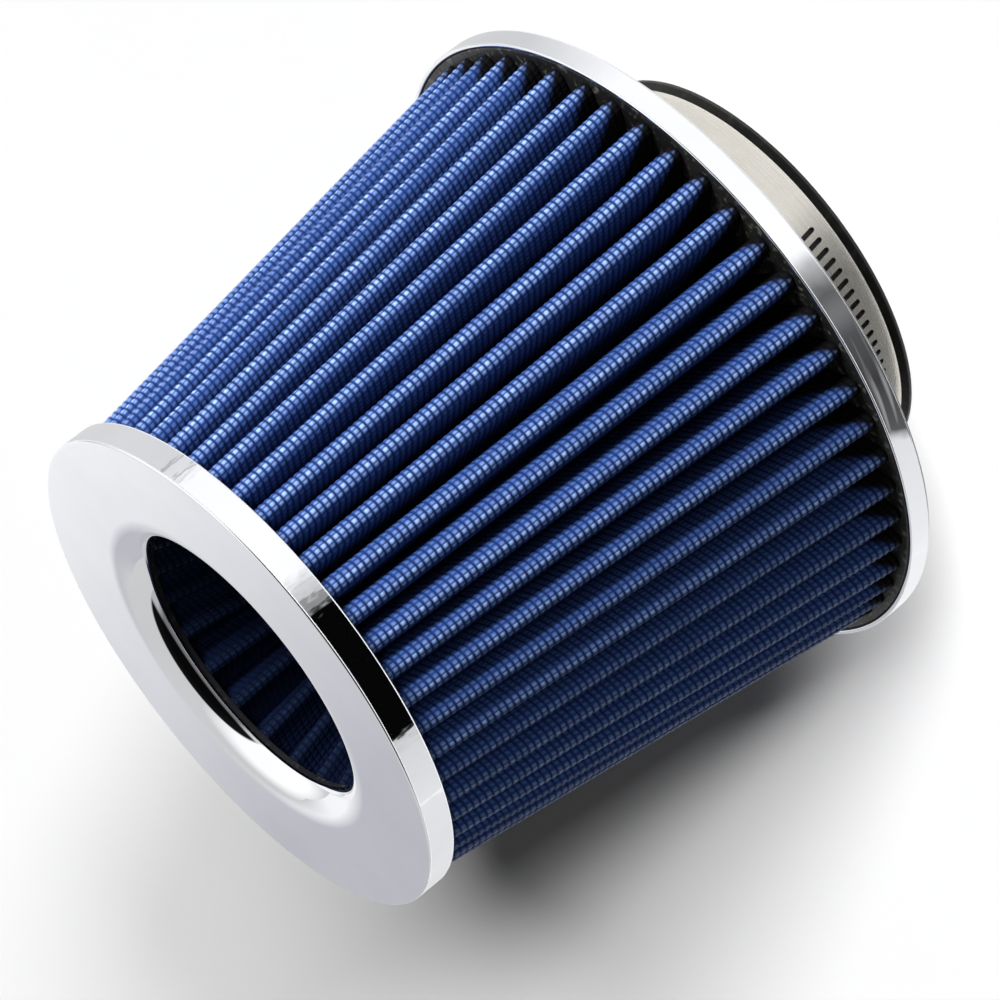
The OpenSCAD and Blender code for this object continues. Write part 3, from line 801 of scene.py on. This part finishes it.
def expanded_cone(name, columns, rows, z, inner_r, sheet_t, strand_w):
    step = 2 * math.pi / columns
    rise = (z[1] - z[0]) / (rows + 1)
    side = math.pi * (inner_r[0] + inner_r[1]) / 2 / columns
    opening = 1 - strand_w / 2 * math.hypot(side, rise) / (side * rise)
    spots, flat, number, faces = [], [], {}, []

    def spot(level, turn, lift):
        key = (round(level, 4), round(turn % columns, 4))
        if key not in number:
            number[key] = len(spots)
            spots.append((level, turn, lift))
            flat.append((turn * side * 2, level * rise))
        return number[key]

    ways = ((0, -1), (-1, 0), (0, 1), (1, 0))
    for level in range(1, rows + 1):
        for i in range(columns):
            turn = i + (level - 1) % 2 / 2
            corners = [spot(level + d, turn + e / 2, 0.0) for d, e in ways]
            hole = [spot(level + d * opening, turn + e / 2 * opening, STRAND_TWIST * d)
                    for d, e in ways]
            for q in range(4):
                p = (q + 1) % 4
                faces.append([corners[p], hole[p], hole[q], corners[q]])
    shells = []
    for depth in (sheet_t, 0):
        shell = []
        for level, turn, lift in spots:
            r = inner_r[0] + (inner_r[1] - inner_r[0]) * level / (rows + 1) + depth + lift * sheet_t
            shell.append((r * math.cos(turn * step), r * math.sin(turn * step), z[0] + level * rise))
        shells.append(np.array(shell))
    return thick_sheet(name, shells[0], shells[1], faces, flat, 30)


print("the strands tip by", STRAND_TWIST, "of the sheet's thickness")

# %% [markdown]
# The outer cage stands inside the outer pack, and the inner cage goes round the inverted one.
# Both are hidden by the cloth from outside, but the bore shows them from below.

# %% Build the two cages
outer_cage = expanded_cone("expanded_cage", columns=48, rows=17, z=(28.4, 140.7),
                           inner_r=(56.75, 42.2), sheet_t=0.55, strand_w=1.0)
place(outer_cage, "outer_cage", "filter", cage_steel)
inner_cage = expanded_cone("expanded_cage_inside", columns=30, rows=9, z=(92.1, 139.3),
                           inner_r=(22.15, 40.95), sheet_t=0.5, strand_w=0.9)
place(inner_cage, "inner_cage", "filter", cage_steel)

# %% [markdown]
# ## The slotted band
# A worm clamp is a long strip of steel. It goes once round the neck, up a small ramp, and out
# through the housing as a free end. The screw pulls on slanted slots, cut along half of it. One
# slot is a bar with round ends: we write one end and one side, and turn them half round for the
# rest, and then lean the whole outline over.

# %% Draw one slot
BAND_Z, BAND_W, BAND_T = 2.2, 12.7, 0.7
BAND_R, TAIL_R = 46.1, 47.8
BAND_START, RING_ARC, RAMP_ARC, TAIL_ARC = 143.7, 341.0, 17.0, 54.47
SLOT_ARC, FIRST_SLOT, SLOT_COUNT = 3.122, 236.3, 56
SLOT_W, SLOT_L, SLOT_SLANT = 1.1, 6.3, 8.0
MM_PER_DEGREE = DEG * (BAND_R + BAND_T)


def slot_outline():
    half = SLOT_L / 2 - SLOT_W / 2
    around = [(SLOT_W / 2 * math.cos(a * DEG), -half + SLOT_W / 2 * math.sin(a * DEG))
              for a in (180, 225, 270, 315, 360)]
    around += [(SLOT_W / 2, half * t) for t in (-0.5, 0, 0.5)]
    around += [(-x, -y) for x, y in around]
    tilt = SLOT_SLANT * DEG
    return [(x * math.cos(tilt) + y * math.sin(tilt), y * math.cos(tilt) - x * math.sin(tilt))
            for x, y in around]


print("corners of a slot:", len(slot_outline()))

# %% [markdown]
# We lay the strip out flat, with degrees round the neck as its length and millimetres as its
# height. The plain part is a grid. The slotted part is one tile for each slot, and each tile joins
# the slot's outline to its own border, point by point.

# %% Lay out the strip
QUARTERS = (-0.5, -0.25, 0, 0.25, 0.5)
PLAIN_COLUMNS, TAIL_COLUMNS = 90, 4


def slotted_strip():
    spots, number, faces = [], {}, []

    def spot(along, height):
        key = (round(along, 5), round(height, 5))
        if key not in number:
            number[key] = len(spots)
            spots.append((along, height))
        return number[key]

    plain = np.linspace(0, FIRST_SLOT - SLOT_ARC / 2, PLAIN_COLUMNS)
    last = FIRST_SLOT + (SLOT_COUNT - 1) * SLOT_ARC + SLOT_ARC / 2
    tail = np.linspace(last, RING_ARC + RAMP_ARC + TAIL_ARC, TAIL_COLUMNS)
    for columns in (plain, tail):
        for a, b in zip(columns, columns[1:]):
            for low, high in zip(QUARTERS, QUARTERS[1:]):
                low, high = low * BAND_W, high * BAND_W
                faces.append([spot(a, low), spot(b, low), spot(b, high), spot(a, high)])
    border = [(e, -0.5) for e in QUARTERS[:-1]] + [(0.5, e) for e in QUARTERS[:-1]]
    border += [(-x, -y) for x, y in border]
    outline = slot_outline()
    for i in range(SLOT_COUNT):
        middle = FIRST_SLOT + i * SLOT_ARC
        tile = [spot(middle + x * SLOT_ARC, y * BAND_W) for x, y in border]
        slot = [spot(middle + x / MM_PER_DEGREE, y) for x, y in outline]
        for a in range(len(border)):
            b = (a + 1) % len(border)
            faces.append([tile[a], tile[b], slot[b], slot[a]])
    return spots, faces


strip, strip_faces = slotted_strip()
print("flat strip:", len(strip), "points and", len(strip_faces), "faces")

# %% [markdown]
# Now we wrap the strip round the neck: the distance along it sets the angle, and a smooth step
# sets the radius on the ramp, where the band climbs over its own start.

# %% Wrap the band round the neck
def band_radius(along):
    s = min(max((along - RING_ARC) / RAMP_ARC, 0), 1)
    return BAND_R + (TAIL_R - BAND_R) * (3 * s * s - 2 * s ** 3)


shells = []
for depth in (BAND_T, 0):
    shells.append(np.array([
        ((band_radius(s) + depth) * math.cos((BAND_START - s) * DEG),
         (band_radius(s) + depth) * math.sin((BAND_START - s) * DEG),
         BAND_Z + BAND_W / 2 + h) for s, h in strip]))
strip_flat = [(s * MM_PER_DEGREE, h) for s, h in strip]
band = thick_sheet("slotted_band", shells[0], shells[1], strip_faces, strip_flat, 35)
place(band, "clamp_band", "filter", band_steel)

# %% [markdown]
# ## The worm screw
# The screw lies across the band in its housing. It's a worm with a collar and a slotted hexagon
# head. All of it is one surface whose radius depends on the place along the axis and on the turn
# round it: a helix for the worm, a hexagon with a turned chamfer for the head.

# %% Write the screw's outline
WORM_PITCH = 2.55
WORM_R, WORM_CORE, JOURNAL_R, COLLAR_R = 4.0, 3.1, 2.9, 4.6
WORM_HALF, HOUSING_HALF, COLLAR_FROM, HEAD_FROM, HEAD_TO = 7.95, 10.0, 9.15, 10.15, 14.65
TOOTH_HEIGHT, TOOTH_SLOPE, THREAD_FADE = 2.2, 6.4, 0.9
HEX_FLAT, CHAMFER_START, CHAMFER_SLOPE = 3.5, 0.12, 1.7
JOURNAL_EDGE, COLLAR_EDGE = 0.3, 0.15
WORM_STEPS = 100
HEAD_STEPS = (HEAD_FROM, 11.5, 13.2, 13.9, 14.2, 14.4, 14.55, HEAD_TO)


def thread_radius(along, turn):
    phase = (along / WORM_PITCH - turn / (2 * math.pi)) % 1
    tooth = np.clip(TOOTH_HEIGHT - abs(phase - 0.5) * TOOTH_SLOPE, 0, 1)
    ends = np.clip((WORM_HALF - abs(along)) / THREAD_FADE, 0, 1)
    return float(WORM_CORE + (WORM_R - WORM_CORE) * tooth * ends)


def hexagon_radius(along, turn):
    flat = HEX_FLAT / math.cos((turn + math.pi / 6) % (math.pi / 3) - math.pi / 6)
    return min(flat, HEX_FLAT + CHAMFER_START + (HEAD_TO - along) * CHAMFER_SLOPE)


def plain_ring(along, radius):
    return along, lambda at, turn: radius


rings = [plain_ring(-HOUSING_HALF, 0), plain_ring(-HOUSING_HALF, JOURNAL_R - JOURNAL_EDGE),
         plain_ring(-HOUSING_HALF + JOURNAL_EDGE, JOURNAL_R), plain_ring(-WORM_HALF, JOURNAL_R)]
rings += [(w, thread_radius) for w in np.linspace(-WORM_HALF, WORM_HALF, WORM_STEPS)]
rings += [plain_ring(WORM_HALF, JOURNAL_R), plain_ring(COLLAR_FROM, JOURNAL_R),
          plain_ring(COLLAR_FROM, COLLAR_R - COLLAR_EDGE),
          plain_ring(COLLAR_FROM + COLLAR_EDGE, COLLAR_R),
          plain_ring(HEAD_FROM - COLLAR_EDGE, COLLAR_R),
          plain_ring(HEAD_FROM, COLLAR_R - COLLAR_EDGE)]
rings += [(w, hexagon_radius) for w in HEAD_STEPS]
rings += [plain_ring(HEAD_TO, 0)]
print("rings along the screw:", len(rings))

# %% [markdown]
# Each ring becomes a row of points round the screw's axis, which lies level, 45 degrees off the
# row's own axes. The rows of no radius at both ends close to a point when doubled points join.

# %% Build the screw
SCREW_PLACE = np.array([-37.3461, 37.3461, 8.55])
SCREW_AXIS = np.array([math.sqrt(0.5), math.sqrt(0.5), 0])
SCREW_OUT = np.array([-math.sqrt(0.5), math.sqrt(0.5), 0])
UPWARD = np.array([0, 0, 1])
SCREW_AROUND = 72
MAP_R = 3

points, flat = [], []
for along, radius_at in rings:
    for i in range(SCREW_AROUND):
        turn = 2 * math.pi * i / SCREW_AROUND
        outward = SCREW_OUT * math.cos(turn) + UPWARD * math.sin(turn)
        points.append(SCREW_PLACE + SCREW_AXIS * along + radius_at(along, turn) * outward)
        flat.append((turn * MAP_R, along))
faces = [[k * SCREW_AROUND + i, k * SCREW_AROUND + (i + 1) % SCREW_AROUND,
          (k + 1) * SCREW_AROUND + (i + 1) % SCREW_AROUND, (k + 1) * SCREW_AROUND + i]
         for k in range(len(rings) - 1) for i in range(SCREW_AROUND)]
screw = new_mesh("worm_screw_slotted", points, faces, [flat[v] for f in faces for v in f], 32)
turn_faces_out(screw.data)
print("screw points:", len(points))

# %% [markdown]
# The driver's slot can't be written as a radius, so a box is cut out with a boolean, and the box
# goes away again. The exact solver is the slow one, but it leaves clean edges. The screw rides on
# its own body, because it is the one piece that turns.

# %% Cut the driver's slot
SLOT_WIDE, SLOT_DEEP, SLOT_HALF_LENGTH = 1.2, 1.6, 8.0


def cut_box(piece, middle, ways, halves):
    corners = [middle + sum(s * h * w for s, h, w in zip(signs, halves, ways))
               for signs in ((-1, -1, -1), (1, -1, -1), (1, 1, -1), (-1, 1, -1),
                             (-1, -1, 1), (1, -1, 1), (1, 1, 1), (-1, 1, 1))]
    sides = [[0, 3, 2, 1], [4, 5, 6, 7], [0, 1, 5, 4], [1, 2, 6, 5], [2, 3, 7, 6], [3, 0, 4, 7]]
    box = new_mesh("cutter", corners, sides)
    turn_faces_out(box.data)
    cut = piece.modifiers.new("Slot", "BOOLEAN")
    cut.operation = "DIFFERENCE"
    cut.solver = "EXACT"
    cut.object = box
    graph = bpy.context.evaluated_depsgraph_get()
    result = bpy.data.meshes.new_from_object(piece.evaluated_get(graph))
    piece.modifiers.clear()
    piece.data = result
    bpy.data.objects.remove(box)


cut_box(screw, SCREW_PLACE + SCREW_AXIS * HEAD_TO, (SCREW_AXIS, SCREW_OUT, UPWARD),
        (SLOT_DEEP, SLOT_WIDE / 2, SLOT_HALF_LENGTH))
place(screw, "clamp_screw", "worm_screw", screw_steel)

# %% [markdown]
# The housing and the saddle keep their solids, because their shape is right. A small bevel on
# every sharp edge is all they need. The imported solid has a separate point for each face's
# corner, so a weld comes first, or the bevel would find no shared edge.

# %% Soften the edges of the housing and the saddle
WELD_WITHIN, SOFT_EDGE, SOFT_ABOVE = 0.002, 0.14, 35

for node in ("clamp_housing", "clamp_saddle"):
    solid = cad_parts[node]
    weld = solid.modifiers.new("Join corners", "WELD")
    weld.merge_threshold = WELD_WITHIN * MM
    soft = solid.modifiers.new("Soft edges", "BEVEL")
    soft.width = SOFT_EDGE * MM
    soft.segments = 2
    soft.limit_method = "ANGLE"
    soft.angle_limit = SOFT_ABOVE * DEG
    soft.harden_normals = False
    give_material(solid, housing_steel)
    print(node, "gets soft edges")

# %% [markdown]
# ## The floor
# The floor is a large white sheet that catches the filter's shadow. It throws no light back up at
# the filter, because a real sweep this wide would fill every valley of the pleats with grey, and
# on the photograph they are dark.

# %% Lay the floor
FLOOR_HALF = 6000
FLOOR_SHINE, FLOOR_ROUGHNESS = 0.1, 0.9


def stage_sheet(name, points, faces, material):
    piece = new_mesh(name, points, faces)
    piece.data.materials.append(material)
    piece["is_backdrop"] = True
    return piece


white_sheet, tree, shader = new_material("White sheet", Roughness=FLOOR_ROUGHNESS,
                                         Specular_IOR_Level=FLOOR_SHINE)
floor_tone = blend(tree, noise(tree, object_place(tree), 3.0), (0.86, 0.86, 0.87, 1), grey(0.90))
tree.links.new(floor_tone, shader.inputs["Base Color"])
floor = stage_sheet("white_floor", [(-FLOOR_HALF, -FLOOR_HALF, 0), (FLOOR_HALF, -FLOOR_HALF, 0),
                                    (FLOOR_HALF, FLOOR_HALF, 0), (-FLOOR_HALF, FLOOR_HALF, 0)],
                    [[0, 1, 2, 3]], white_sheet)
floor.visible_diffuse = False
print("floor:", [round(v, 2) for v in floor.dimensions])

# %% [markdown]
# ## The air round the filter
# The camera sees plain white behind the filter. Chrome sees more: a studio has a dark curtain and
# a bright window, and without them a mirror of white looks like white paint. So for reflections
# the world turns almost black towards the curtain, stays grey under it, near the ground, and grows
# bright towards the window. Cloth and rubber get only a trace of this light, so lamps shape them.

# %% Set the world
AIR_LIGHT = 0.03
CURTAIN_WAY, CURTAIN_EDGE, CURTAIN_GREY = (-0.375, -0.927, 0.0), (0.24, 0.30), 0.004
LOW_EDGE, LOW_END = (0.36, 0.46), 0.01
FRONT_EDGE, LOW_GREYS = (0.45, 0.62), (0.75, 0.28)
WINDOW_WAY, WINDOW_EDGE, WINDOW_LIGHTS = (0.785, -0.07, 0.616), (0.62, 0.86), (0.66, 1.12)

world = bpy.data.worlds.new("Studio air")
world.use_nodes = True
bpy.context.scene.world = world
tree = world.node_tree
way = add_node(tree, "ShaderNodeTexCoord").outputs["Generated"]
toward_curtain = vector_math(tree, "DOT_PRODUCT", way, CURTAIN_WAY, output="Value")
toward_window = vector_math(tree, "DOT_PRODUCT", way, WINDOW_WAY, output="Value")
low = spread(tree, split_up(tree, way)[2], *LOW_EDGE, 1.0, LOW_END)
low = math_node(tree, "MULTIPLY", low, spread(tree, toward_curtain, *FRONT_EDGE, *LOW_GREYS))
curtain = spread(tree, toward_curtain, *CURTAIN_EDGE, 1.0, CURTAIN_GREY)
curtain = math_node(tree, "MAXIMUM", curtain, low)
window = spread(tree, toward_window, *WINDOW_EDGE, *WINDOW_LIGHTS)

ray = add_node(tree, "ShaderNodeLightPath").outputs
seen = math_node(tree, "MAXIMUM", ray["Is Camera Ray"], ray["Is Transmission Ray"])
mirrored = math_node(tree, "MULTIPLY", ray["Is Glossy Ray"], curtain)
mirrored = math_node(tree, "MULTIPLY", mirrored, window)
not_glossy = math_node(tree, "SUBTRACT", 1.0, ray["Is Glossy Ray"])
lit = math_node(tree, "MULTIPLY", not_glossy, AIR_LIGHT)
strength = math_node(tree, "MAXIMUM", math_node(tree, "MAXIMUM", seen, mirrored), lit)
tree.links.new(strength, tree.nodes["Background"].inputs["Strength"])
tree.nodes["Background"].inputs["Color"].default_value = (1, 1, 1, 1)
print("world:", len(tree.nodes), "nodes")

# %% [markdown]
# ## The lamps
# A broad lamp on the right lights the cloth across its pleats, so that one flank of each is
# bright, and two weaker ones stand in front and behind. Chrome doesn't mirror these lamps,
# because the cards below give it its lights. The floor has two lamps of its own, a wide sun and a
# narrow low one, aimed so that the shadow falls where it does on the photograph. Light linking
# keeps the two sets apart.

# %% Set the lamps
AIM_HEIGHT = 70
SUN_DISTANCE = 2000


def lamp(name, azimuth, height, distance_mm, power, lit, size_mm=0, sun_spread=0):
    data = bpy.data.lights.new(name, "SUN" if sun_spread else "AREA")
    if sun_spread:
        data.angle = sun_spread * DEG
    else:
        data.shape = "DISK"
        data.size = size_mm * MM
    data.energy = power
    piece = bpy.data.objects.new(name, data)
    a, h = azimuth * DEG, height * DEG
    back = np.array([math.cos(a) * math.cos(h), math.sin(a) * math.cos(h), math.sin(h)])
    right = np.cross(UPWARD, back)
    right /= np.linalg.norm(right)
    aim(piece, right, np.cross(back, right), back, back * distance_mm + UPWARD * AIM_HEIGHT)
    bpy.context.scene.collection.objects.link(piece)
    piece.light_linking.receiver_collection = lit
    piece.visible_glossy = sun_spread > 0
    print(f"{name}: from {azimuth} degrees round and {height} up")


filter_pieces = bpy.data.collections.new("Lit by the filter's lamps")
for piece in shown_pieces():
    filter_pieces.objects.link(piece)
floor_alone = bpy.data.collections.new("Lit by the floor's lamp")
floor_alone.objects.link(floor)

lamp("key_lamp", -33, 24, 1400, 46, filter_pieces, size_mm=750)
lamp("fill_lamp", -94, 28, 1500, 6, filter_pieces, size_mm=700)
lamp("back_lamp", 112, 30, 1500, 14, filter_pieces, size_mm=900)
lamp("floor_lamp", -76, 17, SUN_DISTANCE, 7.9, floor_alone, sun_spread=16)
lamp("floor_lamp_low", -84, 10, SUN_DISTANCE, 6.5, floor_alone, sun_spread=6)

# %% [markdown]
# ## What the chrome mirrors
# A few glowing cards stand or lie round the filter, and only reflections show them. The flat face
# of the cap sends the camera's look away from us and up, at about 22 degrees, so a tall card
# behind the filter gives the face its slope from grey to white.

# %% Stand the grey card
CARD_HALF, CARD_Y, CARD_LOW, CARD_TOP = 500, 600, 60, 720
SLOPE_FROM, SLOPE_TO = -52, 112
FADE_FROM, FADE_TO = 400, 700
SLOPE_GREY, SLOPE_WHITE = (0.535, 0.535, 0.575, 1), (1.0, 1.0, 1.01, 1)


def glowing_material(name):
    material = bpy.data.materials.new(name)
    material.use_nodes = True
    tree = material.node_tree
    tree.nodes.remove(tree.nodes["Principled BSDF"])
    glow = tree.nodes.new("ShaderNodeEmission")
    tree.links.new(glow.outputs[0], tree.nodes["Material Output"].inputs["Surface"])
    return material, tree, glow.inputs["Color"]


def mirrored_sheet(name, points, faces, material):
    piece = stage_sheet(name, points, faces, material)
    for ray_kind in ("camera", "diffuse", "shadow", "transmission", "volume_scatter"):
        setattr(piece, "visible_" + ray_kind, False)
    print(f"{name}: only reflections show it")


grey_slope, tree, glow_colour = glowing_material("Grey slope")
card_place = split_up(tree, object_place(tree))
across_card = spread(tree, card_place[0], SLOPE_FROM * MM, SLOPE_TO * MM, 0, 1)
slope = blend(tree, across_card, SLOPE_GREY, SLOPE_WHITE)
high_up = spread(tree, card_place[2], FADE_FROM * MM, FADE_TO * MM, 0, 1)
tree.links.new(blend(tree, high_up, slope, grey(0.66)), glow_colour)
mirrored_sheet("back_card", [(-CARD_HALF, CARD_Y, CARD_LOW), (CARD_HALF, CARD_Y, CARD_LOW),
                             (CARD_HALF, CARD_Y, CARD_TOP), (-CARD_HALF, CARD_Y, CARD_TOP)],
               [[0, 1, 2, 3]], grey_slope)

# %% [markdown]
# The skirt, the ring and the band are upright walls, so they look down at the floor in front of
# them, each at its own distance: the band mirrors the floor close by, the skirt the floor half a
# metre away. So each has its own flat strip there, a ring just above the floor. Its grey changes
# with the direction round the filter, and its ends wander a little, as a reflection in thin sheet
# does. The dark stretch of the skirt's strip makes the black streak on the cap.

# %% Make the material of a strip
LINE_TURNS, LINE_REACH = 9.0, 300.0
LINE_EDGE = (0.46, 0.64)
BLUE_TRACE = 1.01


def strip_material(name, stops, wander_scale, wander, streaks):
    material, tree, glow_colour = glowing_material(name)
    where = object_place(tree)
    turn = add_node(tree, "ShaderNodeTexGradient", {0: where}, gradient_type="RADIAL").outputs[1]
    sideways = spread(tree, noise(tree, where, wander_scale), 0, 1, -wander, wander)
    turn = math_node(tree, "ADD", turn, sideways)
    ramp = add_node(tree, "ShaderNodeValToRGB", {0: turn})
    points = ramp.color_ramp.elements
    for spot, (azimuth, tone) in zip([points[0], points[1]] + [points.new(0.5) for _ in stops[2:]],
                                     stops):
        spot.position = azimuth / 360 + 0.5
        spot.color = (tone, tone, tone * BLUE_TRACE, 1)
    reach = vector_math(tree, "LENGTH", where, output="Value")
    line_place = add_node(tree, "ShaderNodeCombineXYZ", {
        0: math_node(tree, "MULTIPLY", turn, LINE_TURNS),
        1: math_node(tree, "MULTIPLY", reach, LINE_REACH)})
    pale_line = spread(tree, noise(tree, line_place.outputs[0], 1.0), *LINE_EDGE, 0, streaks)
    tree.links.new(vector_math(tree, "MAXIMUM", ramp.outputs[0], pale_line), glow_colour)
    return material


print("strips can be made")

# %% [markdown]
# The tables below say how bright each strip is, from the left (-180 degrees) past the front (-90)
# and the right (0) to the back (90) and round again. The greys were judged from the real
# reflections, and the angles follow from the mirror rule.

# %% Lay the strips
STRIP_SIDES = 96
STRIP_Z = 0.5
SKIRT_SHOWS = [(-180, 0.86), (-165, 0.84), (-155, 0.74), (-148.5, 0.62), (-147.5, 0.002),
               (-91, 0.002), (-89.5, 0.10), (-88, 0.45), (-86.5, 0.16), (-84.5, 0.62),
               (-80, 0.72), (-74, 1.12), (-18, 1.12), (-14.5, 0.95), (-13, 0.42), (-11.5, 0.86),
               (-7, 0.82), (-5.8, 0.42), (-4.5, 0.76), (20, 0.76), (80, 0.70), (130, 0.84),
               (180, 0.86)]
RING_SHOWS = [(-180, 0.97), (-150, 0.97), (-143, 0.86), (-141, 0.12), (-128, 0.05), (-116, 0.09),
              (-109, 0.20), (-105, 0.12), (-99, 0.46), (-94, 1.12), (-36, 1.12), (-22, 0.88),
              (-5, 0.70), (30, 0.70), (90, 0.86), (180, 0.97)]
BAND_SHOWS = [(-180, 0.8), (-172, 0.7), (-160, 0.22), (-108, 0.20), (-96, 0.42), (-84, 0.9),
              (90, 0.9), (180, 0.8)]


def floor_strip(name, radius_low, radius_high, material):
    angles = np.arange(STRIP_SIDES) * 360 / STRIP_SIDES * DEG
    points = [(r * math.cos(a), r * math.sin(a), STRIP_Z) for r in (radius_low, radius_high)
              for a in angles]
    faces = [[i, (i + 1) % STRIP_SIDES, STRIP_SIDES + (i + 1) % STRIP_SIDES, STRIP_SIDES + i]
             for i in range(STRIP_SIDES)]
    mirrored_sheet(name, points, faces, material)


floor_strip("skirt_strip", 425, 500,
            strip_material("What the skirt mirrors", SKIRT_SHOWS, 75.0, 0.014, streaks=0.0))
floor_strip("ring_strip", 90, 140,
            strip_material("What the ring mirrors", RING_SHOWS, 60.0, 0.008, streaks=0.32))
floor_strip("band_strip", 50, 86,
            strip_material("What the band mirrors", BAND_SHOWS, 60.0, 0.004, streaks=0.0))
